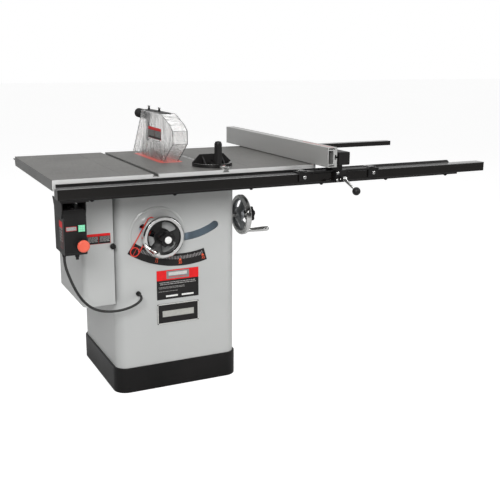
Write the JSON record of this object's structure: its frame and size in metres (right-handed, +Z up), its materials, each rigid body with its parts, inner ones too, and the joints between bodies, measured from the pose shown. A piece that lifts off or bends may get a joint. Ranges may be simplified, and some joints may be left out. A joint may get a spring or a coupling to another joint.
{
  "type": "table saw",
  "caption": "Cabinet table saw with a tilting blade, a clear blade guard, a long rip fence and rails, a mitre gauge, two handwheels, a motor cover and a dust outlet",
  "frame": {"origin": "centre of the base on the floor", "axes": "+X to the operator's right, +Y away from the operator, +Z up"},
  "size_m": [1.898, 1.009, 1.109],
  "materials": {
    "base_plinth": "black powder coat",
    "switch_bracket": "black powder coat",
    "front_angle_rail": "black powder coat",
    "rear_rail": "black powder coat",
    "fence_head": "black powder coat",
    "fence_tube": "black powder coat",
    "tilt_scale": "black powder coat",
    "rating_plate": "black powder coat",
    "badge_plate": "black powder coat",
    "dust_port": "black powder coat",
    "cover_hinge": "black powder coat",
    "arbor_carriage": "black powder coat",
    "trunnion_frame": "black powder coat",
    "cable_glands": "black powder coat",
    "cabinet": "light warm grey enamel",
    "rear_panel": "light warm grey enamel",
    "motor_cover": "light warm grey enamel",
    "motor": "light warm grey enamel",
    "main_table": "ground",
    "left_wing": "ground",
    "right_wing": "ground",
    "trunnion_brackets": "as cast",
    "trunnions": "as cast",
    "height_handwheel": "as cast",
    "tilt_handwheel": "as cast",
    "throat_insert": "red enamel",
    "tilt_pointer": "red enamel",
    "front_guide_tube": "gloss black",
    "frame_bolts": "polished",
    "height_crank": "polished",
    "tilt_crank": "polished",
    "fence_lever": "polished",
    "fence_screws": "polished",
    "gauge_stop_pin": "polished",
    "splitter": "turned",
    "height_shaft": "turned",
    "lift_screw": "turned",
    "tilt_shaft": "turned",
    "motor_pulley": "turned",
    "arbor_shaft": "turned",
    "saw_blade": "turned",
    "blade_fixings": "turned",
    "gauge_bar": "turned",
    "switch_box": "moulded",
    "height_knob": "moulded",
    "tilt_knob": "moulded",
    "cover_latch": "moulded",
    "guard_hanger": "moulded",
    "guard_spout": "moulded",
    "guard_spine": "moulded",
    "gauge_handle": "moulded",
    "start_button": "gloss",
    "stop_button": "gloss",
    "lever_ball": "gloss",
    "guard_shell": "clear polycarbonate",
    "fence_cursors": "clear acrylic",
    "drive_belt": "black",
    "switch_cable": "black",
    "fence_extrusion": "satin anodised",
    "gauge_head": "black enamel"
  },
  "bodies": {
    "stand": {"base_plinth": "base_plinth", "cabinet": "cabinet", "rear_panel": "rear_panel", "dust_port": "dust_port", "main_table": "main_table", "left_wing": "left_wing", "right_wing": "right_wing", "throat_insert": "throat_insert", "front_angle_rail": "front_angle_rail", "front_guide_tube": "front_guide_tube", "rear_rail": "rear_rail", "frame_bolts": "frame_bolts", "rating_plate": "rating_plate", "badge_plate": "badge_plate", "tilt_scale": "tilt_scale", "switch_box": "switch_box", "switch_bracket": "switch_bracket", "cable_glands": "cable_glands", "switch_cable": "switch_cable", "cover_hinge": "cover_hinge", "trunnion_brackets": "trunnion_brackets"},
    "start_button": {"start_button": "start_button"},
    "stop_button": {"stop_button": "stop_button"},
    "motor_cover": {"motor_cover": "motor_cover"},
    "cover_latch": {"cover_latch": "cover_latch"},
    "tilt_unit": {"trunnions": "trunnions", "trunnion_frame": "trunnion_frame", "tilt_pointer": "tilt_pointer", "splitter": "splitter"},
    "height_wheel": {"height_handwheel": "height_handwheel", "height_shaft": "height_shaft"},
    "height_knob": {"height_knob": "height_knob"},
    "height_crank": {"height_crank": "height_crank"},
    "lift_screw": {"lift_screw": "lift_screw"},
    "carriage": {"arbor_carriage": "arbor_carriage", "motor": "motor", "drive_belt": "drive_belt"},
    "motor_rotor": {"motor_pulley": "motor_pulley"},
    "arbor": {"arbor_shaft": "arbor_shaft", "saw_blade": "saw_blade", "blade_fixings": "blade_fixings"},
    "tilt_wheel": {"tilt_handwheel": "tilt_handwheel", "tilt_shaft": "tilt_shaft"},
    "tilt_knob": {"tilt_knob": "tilt_knob"},
    "tilt_crank": {"tilt_crank": "tilt_crank"},
    "guard_hanger": {"guard_hanger": "guard_hanger"},
    "guard": {"guard_shell": "guard_shell", "guard_spine": "guard_spine", "guard_spout": "guard_spout"},
    "fence": {"fence_extrusion": "fence_extrusion", "fence_tube": "fence_tube", "fence_head": "fence_head", "fence_screws": "fence_screws", "fence_cursors": "fence_cursors"},
    "fence_lever": {"fence_lever": "fence_lever", "lever_ball": "lever_ball"},
    "gauge_bar": {"gauge_bar": "gauge_bar"},
    "gauge_head": {"gauge_head": "gauge_head"},
    "gauge_handle": {"gauge_handle": "gauge_handle"},
    "gauge_stop_pin": {"gauge_stop_pin": "gauge_stop_pin"}
  },
  "joints": [
    {"name": "start_press", "type": "slide", "parent": "stand", "child": "start_button", "axis": [0, 1, 0], "range_m": [0, 0.003], "stiffness_N_per_m": 200},
    {"name": "stop_press", "type": "slide", "parent": "stand", "child": "stop_button", "axis": [0, 1, 0], "range_m": [0, 0.005], "stiffness_N_per_m": 200},
    {"name": "cover_swing", "type": "hinge", "parent": "stand", "child": "motor_cover", "pos_m": [-0.261, 0.1425, 0.6], "axis": [0, 0, -1], "range_deg": [0, 90]},
    {"name": "latch_turn", "type": "hinge", "parent": "motor_cover", "child": "cover_latch", "pos_m": [-0.264, -0.26, 0.61], "axis": [0, 1, 0], "range_deg": [0, 90]},
    {"name": "tilt_turn", "type": "hinge", "parent": "stand", "child": "tilt_wheel", "pos_m": [0.3, -0.165, 0.6685], "axis": [1, 0, 0], "range_deg": [0, 6615]},
    {"name": "blade_tilt", "type": "hinge", "parent": "stand", "child": "tilt_unit", "pos_m": [0.02, 0, 0.9], "axis": [0, -1, 0], "range_deg": [0, 45]},
    {"name": "tilt_knob_turn", "type": "hinge", "parent": "tilt_wheel", "child": "tilt_knob", "pos_m": [0.34, -0.165, 0.6685], "axis": [1, 0, 0], "continuous": true},
    {"name": "tilt_crank_spin", "type": "hinge", "parent": "tilt_wheel", "child": "tilt_crank", "pos_m": [0.38, -0.19833, 0.60581], "axis": [1, 0, 0], "continuous": true},
    {"name": "height_turn", "type": "hinge", "parent": "tilt_unit", "child": "height_wheel", "pos_m": [-0.07041, -0.2, 0.63289], "axis": [0, 1, 0], "range_deg": [0, 5760]},
    {"name": "height_knob_turn", "type": "hinge", "parent": "height_wheel", "child": "height_knob", "pos_m": [-0.07041, -0.33, 0.63289], "axis": [0, 1, 0], "continuous": true},
    {"name": "height_crank_spin", "type": "hinge", "parent": "height_wheel", "child": "height_crank", "pos_m": [-0.12857, -0.34, 0.59216], "axis": [0, 1, 0], "continuous": true},
    {"name": "blade_lift", "type": "slide", "parent": "tilt_unit", "child": "carriage", "axis": [0, 0, -1], "range_m": [0, 0.08]},
    {"name": "screw_turn", "type": "hinge", "parent": "tilt_unit", "child": "lift_screw", "pos_m": [-0.07041, -0.095, 0.7], "axis": [0, 0, 1], "range_deg": [0, 5760]},
    {"name": "rotor_spin", "type": "hinge", "parent": "carriage", "child": "motor_rotor", "pos_m": [-0.05, 0, 0.69], "axis": [1, 0, 0], "continuous": true},
    {"name": "arbor_spin", "type": "hinge", "parent": "carriage", "child": "arbor", "pos_m": [0.02, 0.027, 0.852], "axis": [1, 0, 0], "continuous": true},
    {"name": "guard_lift", "type": "slide", "parent": "tilt_unit", "child": "guard_hanger", "axis": [0, 0, 1], "range_m": [0, 0.036]},
    {"name": "guard_float", "type": "slide", "parent": "guard_hanger", "child": "guard", "axis": [0, 0, 1], "range_m": [0, 0.05]},
    {"name": "fence_slide", "type": "slide", "parent": "stand", "child": "fence", "axis": [1, 0, 0], "range_m": [-0.285, 0.545]},
    {"name": "lever_lift", "type": "hinge", "parent": "fence", "child": "fence_lever", "pos_m": [0.61, -0.497, 0.85], "axis": [-1, 0, 0], "range_deg": [0, 45]},
    {"name": "gauge_slide", "type": "slide", "parent": "stand", "child": "gauge_bar", "axis": [0, 1, 0], "range_m": [0, 0.3]},
    {"name": "gauge_swivel", "type": "hinge", "parent": "gauge_bar", "child": "gauge_head", "pos_m": [0.139, -0.275, 0.905], "axis": [0, 0, 1], "range_deg": [-60, 60]},
    {"name": "gauge_handle_turn", "type": "hinge", "parent": "gauge_head", "child": "gauge_handle", "pos_m": [0.139, -0.338, 0.95], "axis": [0, 0, 1], "range_deg": [-90, 0]},
    {"name": "stop_pin_pull", "type": "slide", "parent": "gauge_bar", "child": "gauge_stop_pin", "axis": [0, -1, 0], "range_m": [0, 0.005], "stiffness_N_per_m": 100}
  ],
  "couplings": [
    {"joint": "blade_tilt", "follows": "tilt_turn", "ratio": 0.0068027},
    {"joint": "guard_lift", "follows": "tilt_turn", "m_per_rad": 0.00029449},
    {"joint": "blade_lift", "follows": "height_turn", "m_per_rad": 0.00079577},
    {"joint": "screw_turn", "follows": "height_turn", "ratio": 1},
    {"joint": "rotor_spin", "follows": "arbor_spin", "ratio": 0.78788}
  ]
}
